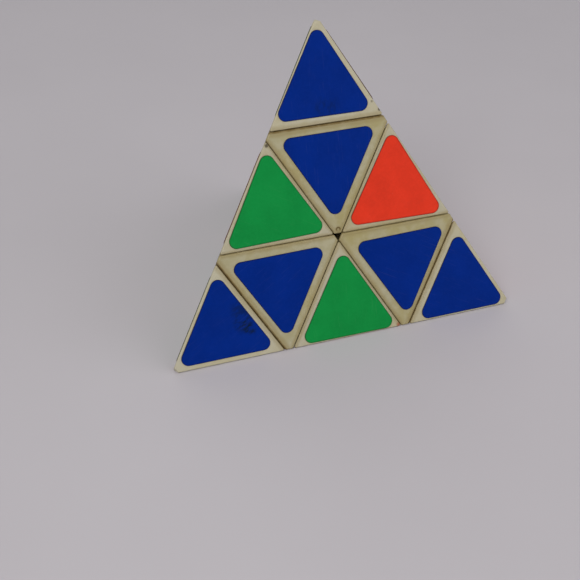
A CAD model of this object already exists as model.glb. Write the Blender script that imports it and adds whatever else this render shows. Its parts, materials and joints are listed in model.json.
"""Pyramid twisty puzzle in aged ivory plastic with satin vinyl stickers, on a plain pale floor.

Everything is in metres in the frame's own axes: the origin is the middle of the core and +Z runs up
through the top corner. Corner number i has its axis AXES[i], and face number i lies opposite it.
"""

import json
import math

import bmesh
import bpy
from mathutils import Matrix, Vector, noise


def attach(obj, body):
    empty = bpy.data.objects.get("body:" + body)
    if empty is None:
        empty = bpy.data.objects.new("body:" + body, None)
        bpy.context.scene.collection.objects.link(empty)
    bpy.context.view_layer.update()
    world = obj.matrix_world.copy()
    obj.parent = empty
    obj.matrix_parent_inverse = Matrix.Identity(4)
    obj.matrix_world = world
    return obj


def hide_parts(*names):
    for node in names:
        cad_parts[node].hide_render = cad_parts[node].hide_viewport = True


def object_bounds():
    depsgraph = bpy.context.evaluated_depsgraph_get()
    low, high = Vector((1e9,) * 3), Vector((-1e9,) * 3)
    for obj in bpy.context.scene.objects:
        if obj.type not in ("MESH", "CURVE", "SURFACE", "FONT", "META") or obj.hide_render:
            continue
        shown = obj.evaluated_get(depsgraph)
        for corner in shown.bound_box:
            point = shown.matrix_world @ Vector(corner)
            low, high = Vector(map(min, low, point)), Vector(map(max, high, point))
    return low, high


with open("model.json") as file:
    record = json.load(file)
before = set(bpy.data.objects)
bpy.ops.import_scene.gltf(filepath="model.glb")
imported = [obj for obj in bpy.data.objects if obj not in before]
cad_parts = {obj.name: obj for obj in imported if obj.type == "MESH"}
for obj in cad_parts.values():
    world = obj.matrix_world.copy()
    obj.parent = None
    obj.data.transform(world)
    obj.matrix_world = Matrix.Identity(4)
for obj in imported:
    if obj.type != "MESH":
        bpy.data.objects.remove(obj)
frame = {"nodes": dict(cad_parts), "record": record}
cad_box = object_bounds()

MM = 0.001

# Distances from the middle of the core: to a face, to a corner, and to the planes where a layer or
# a tip turns. The faces stand FACE_CUT inside the pyramid that the layer planes cut into exact
# thirds, and the tip planes stand TIP_DROP inside its outer thirds.
EDGE = 98 * MM
FACE_CUT = 1.2 * MM
TIP_DROP = 1 * MM
FACE_DIST = EDGE * math.sqrt(2 / 3) / 4
CORNER_DIST = 3 * FACE_DIST
LAYER_DIST = (FACE_DIST + FACE_CUT) / 3
TIP_DIST = 5 * LAYER_DIST - TIP_DROP
AXES = [
    Vector((0, 0, 1)),
    Vector((-math.sqrt(2 / 3), -math.sqrt(2) / 3, -1 / 3)),
    Vector((math.sqrt(2 / 3), -math.sqrt(2) / 3, -1 / 3)),
    Vector((0, math.sqrt(8) / 3, -1 / 3)),
]
TOP, LEFT, RIGHT, BACK = range(4)
CORNERS = ["top", "left", "right", "back"]
FACES = ["base", "right", "left", "front"]
EDGES = [(TOP, LEFT), (TOP, RIGHT), (TOP, BACK), (LEFT, RIGHT), (LEFT, BACK), (RIGHT, BACK)]

# Borders of bare plastic round the stickers
BORDER = {"tip": 1.3 * MM, "centre": 2.25 * MM, "edge": 1.05 * MM}
# How far a sticker has slipped along its aim and across it, in mm, and how many degrees it is turned:
# one row for each of the three places of its kind on a face
SLIPS = {
    "tip": [(0.8, 0.6, -0.5), (0.3, -0.4, 0), (0.8, -0.3, 0)],
    "centre": [(-0.3, -0.1, 0), (-0.2, 0, 0.5), (-0.8, 0.2, 1)],
    "edge": [(-0.3, 0.1, 1), (-0.2, -0.2, -1.5), (-0.5, -0.4, -0.5)],
}
# Thickness of a film, radius of its corners, the least radius that its inner rings keep, and the
# steps round a corner
FILM = 0.2 * MM
STICKER_ROUND = 2 * MM
SMALLEST_ROUND = 0.02 * MM
CORNER_STEPS = 14
# How the top of a film waves: size and depth, and how far apart in the noise two films lie
WAVE_SIZE = 6 * MM
WAVE_DEPTH = 0.018 * MM
WAVE_STEP = 7.3

# Colours of the marks on plastic and film
MOTTLE = (0.5, 0.47, 0.36, 1)
TAN = (0.27, 0.21, 0.085, 1)
SEAM_DIRT = (0.16, 0.105, 0.03, 1)
SPECK = (0.09, 0.07, 0.04, 1)
RING_STAIN = (0.26, 0.2, 0.075, 1)
RING_DIRT = (0.1, 0.065, 0.015, 1)
DARK_SPOT = (0.06, 0.045, 0.025, 1)
RED_STAIN = (0.3, 0.05, 0.02, 1)
RIM_GRIME = (0.03, 0.026, 0.018, 1)
SCRATCH = (0.5, 0.5, 0.52, 1)
DUST = (0.45, 0.43, 0.4, 1)
SMUDGE = (0.004, 0.011, 0.016, 1)


# ---------------------------------------------------------------- shader tools

def add(tree, kind, inputs=None, **settings):
    """Adds a node; inputs are values or sockets by name or number."""
    made = tree.nodes.new(kind)
    for key, value in settings.items():
        setattr(made, key, value)
    for key, value in (inputs or {}).items():
        if isinstance(value, bpy.types.NodeSocket):
            tree.links.new(value, made.inputs[key])
        else:
            made.inputs[key].default_value = value
    return made


def maths(tree, operation, a, b=0.0):
    """The result of one operation on one or two numbers."""
    return add(tree, "ShaderNodeMath", {0: a, 1: b}, operation=operation).outputs[0]


def times(tree, a, b):
    return maths(tree, "MULTIPLY", a, b)


def fade(tree, value, start, end, low=1.0, high=0.0):
    """A smooth step from low at start to high at end."""
    made = add(
        tree,
        "ShaderNodeMapRange",
        {"Value": value, "From Min": start, "From Max": end, "To Min": low, "To Max": high},
        interpolation_type="SMOOTHSTEP",
    )
    return made.outputs[0]


def mix(tree, factor, a, b):
    """Colour a where the factor is 0, and colour b where it is 1."""
    return add(tree, "ShaderNodeMix", {0: factor, 6: a, 7: b}, data_type="RGBA").outputs[2]


def cloud(tree, place, size, detail=3.0, roughness=0.55):
    """Noise with features of the given size in metres, from 0 to 1."""
    made = add(
        tree,
        "ShaderNodeTexNoise",
        {"Vector": place, "Scale": 1 / size, "Detail": detail, "Roughness": roughness},
    )
    return made.outputs["Fac"]


def start_material(name):
    """An empty material with its output, shader and object coordinates."""
    made = bpy.data.materials.new(name)
    made.use_nodes = True
    tree = made.node_tree
    tree.nodes.clear()
    shader = tree.nodes.new("ShaderNodeBsdfPrincipled")
    out = tree.nodes.new("ShaderNodeOutputMaterial")
    tree.links.new(shader.outputs[0], out.inputs[0])
    place = tree.nodes.new("ShaderNodeTexCoord").outputs["Object"]
    return made, tree, shader, place


def make_seam_group():
    """Distances from a point to the nearest plane where a layer turns, and where a tip turns."""
    tree = bpy.data.node_groups.new("seam distance", "ShaderNodeTree")
    tree.interface.new_socket("Place", in_out="INPUT", socket_type="NodeSocketVector")
    place = tree.nodes.new("NodeGroupInput").outputs[0]
    out = tree.nodes.new("NodeGroupOutput")
    for name, plane in (("Layer", LAYER_DIST), ("Tip", TIP_DIST)):
        tree.interface.new_socket(name, in_out="OUTPUT", socket_type="NodeSocketFloat")
        nearest = 1.0
        for axis in AXES:
            along = add(tree, "ShaderNodeVectorMath", {0: place, 1: axis}, operation="DOT_PRODUCT")
            away = maths(tree, "ABSOLUTE", maths(tree, "SUBTRACT", along.outputs["Value"], plane))
            nearest = maths(tree, "MINIMUM", away, nearest)
        tree.links.new(nearest, out.inputs[name])
    return tree


SEAM_GROUP = make_seam_group()


def seam_distances(tree, place):
    made = add(tree, "ShaderNodeGroup", node_tree=SEAM_GROUP)
    tree.links.new(place, made.inputs[0])
    return made.outputs["Layer"], made.outputs["Tip"]


def stretched(tree, flat, turn, share):
    """Coordinates turned by some degrees and squeezed along one way, so that patterns draw out there."""
    spin = (0.0, 0.0, math.radians(turn))
    made = add(tree, "ShaderNodeMapping", {"Vector": flat, "Rotation": spin, "Scale": (share, 1.0, 1.0)})
    return made.outputs[0]


def scratches(tree, flat, width, length, turn, sparse):
    """Straight fine scratches at one angle: a stretched noise, kept only at its peaks."""
    drawn_out = stretched(tree, flat, turn, width / length)
    return fade(tree, cloud(tree, drawn_out, width, 0.0), sparse, sparse + 0.05, 0.0, 1.0)


def spot(tree, place, centre, radius, ragged):
    """1 inside a round spot with a soft edge, 0 outside; ragged breaks up the outline."""
    away = add(tree, "ShaderNodeVectorMath", {0: place, 1: centre}, operation="DISTANCE")
    wander = times(tree, cloud(tree, place, radius * 0.6), ragged * radius)
    return fade(tree, maths(tree, "ADD", away.outputs["Value"], wander), radius * 0.45, radius)


def sparse_dots(tree, place, spacing, keep, inner, outer):
    """Small round dots, in the few cells of a pattern whose random shade is above keep."""
    cells = add(tree, "ShaderNodeTexVoronoi", {"Vector": place, "Scale": 1 / spacing})
    rare = fade(tree, cells.outputs["Color"], keep, keep + 0.02, 0.0, 1.0)
    return times(tree, fade(tree, cells.outputs["Distance"], inner, outer), rare)


def moulded_ring(tree, place, centre):
    """The groove of a small raised ring, deeper on its upper half, and the stain round it."""
    offset = add(tree, "ShaderNodeVectorMath", {0: place, 1: centre}, operation="SUBTRACT").outputs["Vector"]
    away = add(tree, "ShaderNodeVectorMath", {0: offset}, operation="LENGTH").outputs["Value"]
    height = add(tree, "ShaderNodeSeparateXYZ", {0: offset}).outputs["Z"]
    from_circle = maths(tree, "ABSOLUTE", maths(tree, "SUBTRACT", away, 0.5 * MM))
    groove = fade(tree, from_circle, 0.12 * MM, 0.28 * MM)
    groove = times(tree, groove, fade(tree, height, -0.35 * MM, -0.05 * MM, 0.25, 1.0))
    return groove, fade(tree, away, 0.5 * MM, 1.3 * MM, 0.6, 0.0)


def join_up(tree, shader, base, rough, relief, strength, depth):
    """Joins the colour, roughness and bump to the shader."""
    bump = add(tree, "ShaderNodeBump", {"Height": relief, "Strength": strength, "Distance": depth})
    tree.links.new(base, shader.inputs["Base Color"])
    tree.links.new(rough, shader.inputs["Roughness"])
    tree.links.new(bump.outputs[0], shader.inputs["Normal"])


# ---------------------------------------------------------------- materials

def ivory(name, fresh, aged, age, tan, marks=(), ring=None):
    """Moulded ABS: cloudy yellowing, tan bands along the seams, dirt in them, a few specks and marks.

    Each mark is a spot's centre, radius, strength and colour. The ring is a moulded ring's centre.
    """
    made, tree, shader, place = start_material(name)
    layer_seam, tip_seam = seam_distances(tree, place)

    patches = fade(tree, cloud(tree, place, 14 * MM), 0.35, 0.68, 0.0, 1.0)
    base = mix(tree, times(tree, patches, age), fresh, aged)
    mottle = cloud(tree, place, 2.2 * MM, 4.0)
    base = mix(tree, fade(tree, mottle, 0.38, 0.66, 0.0, 0.22), base, MOTTLE)

    # The tan band is 0.4 mm wider along a tip's seam, and dirt lies wider and thicker there too
    uneven = cloud(tree, place, 4 * MM)
    nearer = maths(tree, "MINIMUM", layer_seam, maths(tree, "SUBTRACT", tip_seam, 0.4 * MM))
    reach = maths(tree, "SUBTRACT", nearer, times(tree, uneven, 0.8 * MM))
    band = times(tree, fade(tree, reach, -0.1 * MM, 0.9 * MM), tan)
    base = mix(tree, band, base, TAN)
    broken = cloud(tree, place, 1.8 * MM)
    layer_share = fade(tree, broken, 0.35, 0.6, 0.0, 0.45)
    layer_dirt = times(tree, fade(tree, layer_seam, 0.08 * MM, 0.2 * MM), layer_share)
    tip_share = fade(tree, broken, 0.35, 0.6, 0.6, 0.95)
    tip_dirt = times(tree, fade(tree, tip_seam, 0.2 * MM, 0.5 * MM), tip_share)
    dirt = maths(tree, "MAXIMUM", layer_dirt, tip_dirt)
    base = mix(tree, dirt, base, SEAM_DIRT)

    speck = sparse_dots(tree, place, 6 * MM, 0.8, 0.012, 0.032)
    base = mix(tree, times(tree, speck, 0.7), base, SPECK)
    for centre, radius, depth, colour in marks:
        base = mix(tree, times(tree, spot(tree, place, centre, radius, 0.35), depth), base, colour)

    rough = fade(tree, uneven, 0.3, 0.7, 0.32, 0.42)
    rough = maths(tree, "ADD", rough, times(tree, dirt, 0.35))
    relief = times(tree, cloud(tree, place, 0.3 * MM, 2.0), 0.12)
    relief = maths(tree, "ADD", relief, cloud(tree, place, 6 * MM, 2.0))
    relief = maths(tree, "SUBTRACT", relief, times(tree, speck, 0.4))
    if ring:
        groove, stain = moulded_ring(tree, place, ring)
        base = mix(tree, stain, base, RING_STAIN)
        base = mix(tree, times(tree, groove, 0.9), base, RING_DIRT)
        relief = maths(tree, "SUBTRACT", relief, groove)

    join_up(tree, shader, base, rough, relief, 0.35, 0.06 * MM)
    shader.inputs["IOR"].default_value = 1.5
    shader.inputs["Specular IOR Level"].default_value = 0.35
    return made


def vinyl(name, colour, smudges=()):
    """Satin sticker film: faint mottle, a dirty rim, straight fine scratches, dust, and smudges.

    Each smudge is a blot's centre, radius and strength.
    """
    made, tree, shader, place = start_material(name)
    rim = add(tree, "ShaderNodeAttribute", attribute_name="rim").outputs["Fac"]
    flat = add(tree, "ShaderNodeAttribute", attribute_name="flat").outputs["Vector"]

    deep = tuple(c * 0.88 for c in colour[:3]) + (1,)
    base = mix(tree, fade(tree, cloud(tree, place, 8 * MM, 4.0), 0.3, 0.7, 0.0, 1.0), colour, deep)
    light = tuple(min(1.0, c * 1.2 + 0.003) for c in colour[:3]) + (1,)
    base = mix(tree, fade(tree, cloud(tree, place, 0.7 * MM), 0.4, 0.65, 0.0, 0.15), base, light)

    # The rim attribute is 1 where the top rounds over, and 2 on the cut edge
    worn = times(tree, fade(tree, rim, 0.6, 0.95, 0.0, 1.0), cloud(tree, place, 2.5 * MM))
    dark = tuple(c * 0.35 + 0.002 for c in colour[:3]) + (1,)
    base = mix(tree, times(tree, worn, 0.9), base, dark)
    base = mix(tree, fade(tree, rim, 1.1, 1.5, 0.0, 0.9), base, RIM_GRIME)

    fine = scratches(tree, flat, 0.14 * MM, 6 * MM, 21, 0.77)
    fine = maths(tree, "MAXIMUM", fine, scratches(tree, flat, 0.12 * MM, 4 * MM, 78, 0.79))
    fine = maths(tree, "MAXIMUM", fine, scratches(tree, flat, 0.16 * MM, 9 * MM, -37, 0.78))
    base = mix(tree, times(tree, fine, 0.02), base, SCRATCH)
    dust = sparse_dots(tree, place, 3.2 * MM, 0.78, 0.012, 0.045)
    base = mix(tree, times(tree, dust, 0.12), base, DUST)

    for centre, radius, depth in smudges:
        streaks = stretched(tree, flat, 62, 0.4)
        blot = fade(tree, cloud(tree, streaks, 0.9 * MM, 4.0, 0.6), 0.4, 0.6, 0.1, 1.0)
        blot = times(tree, blot, spot(tree, place, centre, radius, 0.5))
        base = mix(tree, times(tree, blot, depth), base, SMUDGE)

    handled = fade(tree, cloud(tree, place, 6 * MM, 4.0, 0.6), 0.35, 0.68, 0.34, 0.46)
    rough = maths(tree, "ADD", handled, times(tree, fine, 0.12))
    relief = times(tree, cloud(tree, place, 0.5 * MM, 2.0), 0.15)
    relief = maths(tree, "ADD", relief, cloud(tree, place, 4 * MM, 2.0))
    relief = maths(tree, "SUBTRACT", relief, times(tree, fine, 0.12))

    join_up(tree, shader, base, rough, relief, 0.3, 0.04 * MM)
    shader.inputs["Specular IOR Level"].default_value = 0.04
    return made


def steel(name, colour):
    """Zinc-plated steel: cloudy plating with fine turning marks."""
    made, tree, shader, place = start_material(name)
    clouds = cloud(tree, place, 1.5 * MM, 4.0)
    dull = tuple(c * 0.72 for c in colour[:3]) + (1,)
    base = mix(tree, fade(tree, clouds, 0.35, 0.65, 0.0, 1.0), colour, dull)
    rough = fade(tree, clouds, 0.3, 0.7, 0.26, 0.45)
    join_up(tree, shader, base, rough, cloud(tree, place, 0.12 * MM, 2.0), 0.2, 0.02 * MM)
    shader.inputs["Metallic"].default_value = 1.0
    return made


def front_point(share_top, share_left, share_right):
    """A point on the front face, by its shares of that face's three corners."""
    return CORNER_DIST * (share_top * AXES[TOP] + share_left * AXES[LEFT] + share_right * AXES[RIGHT])


# Fresh and aged colours, how much of the plastic is aged, and how strong the tan bands are
TIP_TONES = (0.45, 0.42, 0.31, 1), (0.41, 0.36, 0.21, 1), 0.7, 0.45
CENTRE_TONES = (0.36, 0.33, 0.205, 1), (0.335, 0.285, 0.12, 1), 0.9, 0.6
EDGE_TONES = (0.42, 0.39, 0.285, 1), (0.39, 0.335, 0.18, 1), 0.75, 0.6
IVORY = {
    "tip": ivory("ivory_tip", *TIP_TONES),
    "centre": ivory("ivory_centre", *CENTRE_TONES),
    "edge": ivory("ivory_edge", *EDGE_TONES),
}
IVORY_MARKED = {
    "tip_top": ivory(
        "ivory_tip_marked",
        *TIP_TONES,
        marks=[
            (front_point(0.7, 0.003, 0.297), 0.75 * MM, 0.9, DARK_SPOT),
            (front_point(0.727, 0.009, 0.264), 0.55 * MM, 0.55, DARK_SPOT),
        ],
    ),
    "centre_top": ivory("ivory_centre_marked", *CENTRE_TONES, ring=front_point(0.3545, 0.3215, 0.324)),
    "edge_top_left": ivory(
        "ivory_edge_marked",
        *EDGE_TONES,
        marks=[(front_point(0.644, 0.347, 0.009), 0.9 * MM, 0.85, DARK_SPOT)],
    ),
    "edge_left_right": ivory(
        "ivory_edge_stained",
        *EDGE_TONES,
        marks=[(front_point(0.008, 0.343, 0.649), 1.4 * MM, 0.7, RED_STAIN)],
    ),
}
CORE_PLASTIC = ivory("core_plastic", (0.5, 0.47, 0.38, 1), (0.42, 0.37, 0.24, 1), 0.5, 0.2)
STEEL = steel("zinc_plated_steel", (0.56, 0.57, 0.6, 1))

FILM_COLOURS = {
    "sticker_blue": (0.0006, 0.02, 0.205, 1),
    "sticker_green": (0.006, 0.245, 0.048, 1),
    "sticker_orange": (0.71, 0.041, 0.017, 1),
    "sticker_yellow": (0.8, 0.5, 0.012, 1),
}
VINYL = {slot: vinyl(slot, colour) for slot, colour in FILM_COLOURS.items()}


# ---------------------------------------------------------------- moulded pieces

# How near two points of a node's mesh are joined, and how far large faces lead its shading
WELD_REACH = 0.001 * MM
LARGE_FACE_WEIGHT = 80


def finish_node(obj, material):
    """Gives a CAD node its material, and soft shading across its moulded edges: the larger faces
    lead the weighted normals, so that flat faces still look flat."""
    if not obj.material_slots:
        obj.data.materials.append(material)
    for slot in obj.material_slots:
        slot.material = material
    obj.data.polygons.foreach_set("use_smooth", [True] * len(obj.data.polygons))
    weld = obj.modifiers.new("weld", "WELD")
    weld.merge_threshold = WELD_REACH
    weighted = obj.modifiers.new("weighted", "WEIGHTED_NORMAL")
    weighted.keep_sharp = True
    weighted.weight = LARGE_FACE_WEIGHT


record = frame["record"]
slot_of = {row["node"]: row["material_slot"] for row in record["subparts"]}
body_of = {node: body for body, members in record["behaviour"]["bodies"].items() for node in members}
for node_name, node in frame["nodes"].items():
    kind = node_name.split("_")[0]
    if node_name.startswith("axle"):
        finish_node(node, STEEL)
    elif node_name == "core_spider":
        finish_node(node, CORE_PLASTIC)
    elif kind in IVORY:
        finish_node(node, IVORY_MARKED.get(node_name, IVORY[kind]))


# ---------------------------------------------------------------- stickers

def rounded_triangle(side, inset):
    """Outline of an equilateral triangle with round corners, set in by inset."""
    radius = max(STICKER_ROUND - inset, SMALLEST_ROUND)
    reach = side / math.sqrt(3) - 2 * STICKER_ROUND
    points = []
    for corner in range(3):
        turn = math.radians(120 * corner)
        for step in range(CORNER_STEPS + 1):
            bend = turn + math.radians(-60 + 120 * step / CORNER_STEPS)
            x = reach * math.cos(turn) + radius * math.cos(bend)
            y = reach * math.sin(turn) + radius * math.sin(bend)
            points.append((x, y))
    return points


# Cross-section of a film's edge: how far in from the outline, how high, and the rim attribute there.
# The first three rings are its cut edge.
FILM_PROFILE = [
    (0.0, 0.0, 2.0),
    (0.0, 0.55 * FILM, 2.0),
    (0.03 * MM, 0.85 * FILM, 1.6),
    (0.09 * MM, FILM, 1.0),
    (0.3 * MM, FILM, 0.75),
    (0.8 * MM, FILM, 0.4),
    (1.5 * MM, FILM, 0.0),
]
CUT_EDGE_RINGS = 3
# The rest of the top is rings at these shares of the innermost one
TOP_RINGS = (0.8, 0.6, 0.4, 0.2)


def film_rings(side):
    """Closed rings of points from the foot of the film's edge to near its middle."""
    rings = []
    for inset, height, rim in FILM_PROFILE:
        rings.append([(x, y, height, rim) for x, y in rounded_triangle(side, inset)])
    inner = rings[-1]
    for scale in TOP_RINGS:
        rings.append([(x * scale, y * scale, FILM, 0.0) for x, y, _, _ in inner])
    return rings


def sticker_mesh(name, side, seed):
    """A film with a softly rounded rim and a slightly uneven top, drawn flat at the origin."""
    build = bmesh.new()
    rim_layer = build.verts.layers.float.new("rim")
    flat_layer = build.verts.layers.float_vector.new("flat")
    verts = []
    for number, ring in enumerate(film_rings(side)):
        row = []
        for x, y, height, rim in ring:
            sink = 0.0
            if number >= CUT_EDGE_RINGS:
                wave = noise.noise(Vector((x, y, seed * WAVE_STEP)) / WAVE_SIZE)
                sink = WAVE_DEPTH * (0.5 + 0.5 * wave)
            vert = build.verts.new((x, y, height - sink))
            vert[rim_layer] = rim
            vert[flat_layer] = (x, y, seed * MM)
            row.append(vert)
        verts.append(row)
    for outer, inner in zip(verts, verts[1:]):
        for k in range(len(outer)):
            after = (k + 1) % len(outer)
            build.faces.new((outer[k], outer[after], inner[after], inner[k]))
    build.faces.new(verts[-1])
    build.faces.new(list(reversed(verts[0])))
    mesh = bpy.data.meshes.new(name)
    build.to_mesh(mesh)
    build.free()
    mesh.polygons.foreach_set("use_smooth", [len(p.vertices) == 4 for p in mesh.polygons])
    return mesh


def towards(corner, face):
    """Direction on a face to one of its corners."""
    return (3 * AXES[corner] + AXES[face]).normalized()


def line_on_face(distance):
    """How far from a face's middle the plane at this distance along an axis cuts it."""
    return (3 * distance - FACE_DIST) / math.sqrt(8)


def on_face(face, aim, away):
    """Carries a flat sticker to a face, with its first corner along aim and its middle that way too."""
    out = -AXES[face]
    across = out.cross(aim)
    middle = FACE_DIST * out + away * aim
    return Matrix(
        [
            (aim[0], across[0], out[0], middle[0]),
            (aim[1], across[1], out[1], middle[1]),
            (aim[2], across[2], out[2], middle[2]),
            (0, 0, 0, 1),
        ]
    )


def put_sticker(kind, owner, face, row, aim, base_line, altitude):
    """Makes the detailed sticker that stands for one CAD sticker node.

    It lies in an equal-sided cell that points along aim: base_line says where the cell's base is,
    measured from the face's middle, and altitude how tall the cell is.
    """
    along, sideways, turn = SLIPS[kind][row]
    cad_name = f"sticker_{owner}_{FACES[face]}"
    side = altitude * 2 / math.sqrt(3) - 2 * math.sqrt(3) * BORDER[kind]
    mesh = sticker_mesh(f"film_{owner}_{FACES[face]}", side, len(bpy.data.meshes))
    slip = Matrix.Translation((along * MM, sideways * MM, 0)) @ Matrix.Rotation(math.radians(turn), 4, "Z")
    mesh.transform(on_face(face, aim, base_line + altitude / 3) @ slip)
    mesh.materials.append(MARKED.get(cad_name, VINYL[slot_of[cad_name]]))
    piece = bpy.data.objects.new(mesh.name, mesh)
    bpy.context.scene.collection.objects.link(piece)
    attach(piece, body_of[cad_name])
    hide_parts(cad_name)


BLUE = FILM_COLOURS["sticker_blue"]
LEFT_SMUDGES = [
    (front_point(0.095, 0.726, 0.179), 3 * MM, 0.9),
    (front_point(0.115, 0.735, 0.15), 4 * MM, 0.75),
    (front_point(0.155, 0.708, 0.137), 6.5 * MM, 0.5),
]
TOP_SMUDGES = [
    (front_point(0.733, 0.147, 0.12), 4 * MM, 0.3),
    (front_point(0.727, 0.12, 0.153), 4 * MM, 0.3),
]
MARKED = {
    "sticker_tip_left_front": vinyl("sticker_blue_smudged", BLUE, LEFT_SMUDGES),
    "sticker_tip_top_front": vinyl("sticker_blue_marked", BLUE, TOP_SMUDGES),
}

# From a face's middle: to a tip's seam, to a layer's seam, to a side of the face and to a corner
TIP_LINE = line_on_face(TIP_DIST)
LAYER_LINE = line_on_face(LAYER_DIST)
EDGE_LINE = -line_on_face(-FACE_DIST)
CORNER_LINE = 2 * EDGE_LINE
for face in range(4):
    for row, corner in enumerate(c for c in range(4) if c != face):
        aim = towards(corner, face)
        height = CORNER_LINE - TIP_LINE
        put_sticker("tip", f"tip_{CORNERS[corner]}", face, row, aim, TIP_LINE, height)
        height = TIP_LINE + 2 * LAYER_LINE
        put_sticker("centre", f"centre_{CORNERS[corner]}", face, row, -aim, -TIP_LINE, height)
    for row, (first, second) in enumerate(e for e in EDGES if face not in e):
        aim = -(towards(first, face) + towards(second, face)).normalized()
        height = EDGE_LINE - 2 * LAYER_LINE
        owner = f"edge_{CORNERS[first]}_{CORNERS[second]}"
        put_sticker("edge", owner, face, row, aim, -EDGE_LINE, height)


# ---------------------------------------------------------------- floor, light and camera

def floor_material():
    """Plain pale board, very faintly cloudy."""
    made, tree, shader, place = start_material("pale_floor")
    tone = cloud(tree, place, 60 * MM)
    base = mix(tree, tone, (0.505, 0.48, 0.505, 1), (0.54, 0.515, 0.54, 1))
    tree.links.new(base, shader.inputs["Base Color"])
    shader.inputs["Roughness"].default_value = 0.6
    shader.inputs["Specular IOR Level"].default_value = 0.2
    return made


FLOOR_SIZE = 6.0
floor_mesh = bpy.data.meshes.new("floor")
half = FLOOR_SIZE / 2
floor_z = cad_box[0][2]
floor_mesh.from_pydata(
    [(-half, -half, floor_z), (half, -half, floor_z), (half, half, floor_z), (-half, half, floor_z)],
    [],
    [(0, 1, 2, 3)],
)
floor_mesh.materials.append(floor_material())
floor = bpy.data.objects.new("floor", floor_mesh)
bpy.context.scene.collection.objects.link(floor)


def area_light(name, place, size, power, colour):
    """A soft square lamp aimed at the puzzle."""
    data = bpy.data.lights.new(name, "AREA")
    data.shape = "SQUARE"
    data.size = size
    data.energy = power
    data.color = colour
    lamp = bpy.data.objects.new(name, data)
    lamp.location = place
    lamp.rotation_euler = (-Vector(place)).to_track_quat("-Z", "Y").to_euler()
    bpy.context.scene.collection.objects.link(lamp)


area_light("key", (-0.5, -0.75, 0.95), 0.8, 12.0, (1.0, 0.985, 0.97))
area_light("fill", (0.8, -0.6, 0.55), 1.2, 4.5, (0.97, 0.98, 1.0))
area_light("rear", (0.1, 1.1, 0.9), 1.2, 3.0, (1.0, 1.0, 1.0))

world = bpy.data.worlds.new("studio")
world.use_nodes = True
surround = world.node_tree.nodes["Background"].inputs
surround["Color"].default_value = (0.82, 0.81, 0.84, 1)
surround["Strength"].default_value = 0.25
bpy.context.scene.world = world
bpy.context.scene.view_settings.view_transform = "Standard"

# The camera looks down at the front face from its left. The puzzle sits above and right of the middle.
CAMERA_PLACE = Vector((-0.08392, -0.23084, 0.15123))
CAMERA_AIM = Vector((-0.00992, -0.00829, -0.01547))
CAMERA_ROLL = math.radians(-0.273)
CAMERA_LENS = 63.88

camera_data = bpy.data.cameras.new("camera")
camera_data.lens = CAMERA_LENS
camera_data.clip_start = 0.01
camera = bpy.data.objects.new("camera", camera_data)
looking = (CAMERA_AIM - CAMERA_PLACE).to_track_quat("-Z", "Y").to_matrix().to_4x4()
camera.matrix_world = Matrix.Translation(CAMERA_PLACE) @ looking @ Matrix.Rotation(CAMERA_ROLL, 4, "Z")
bpy.context.scene.collection.objects.link(camera)
bpy.context.scene.camera = camera
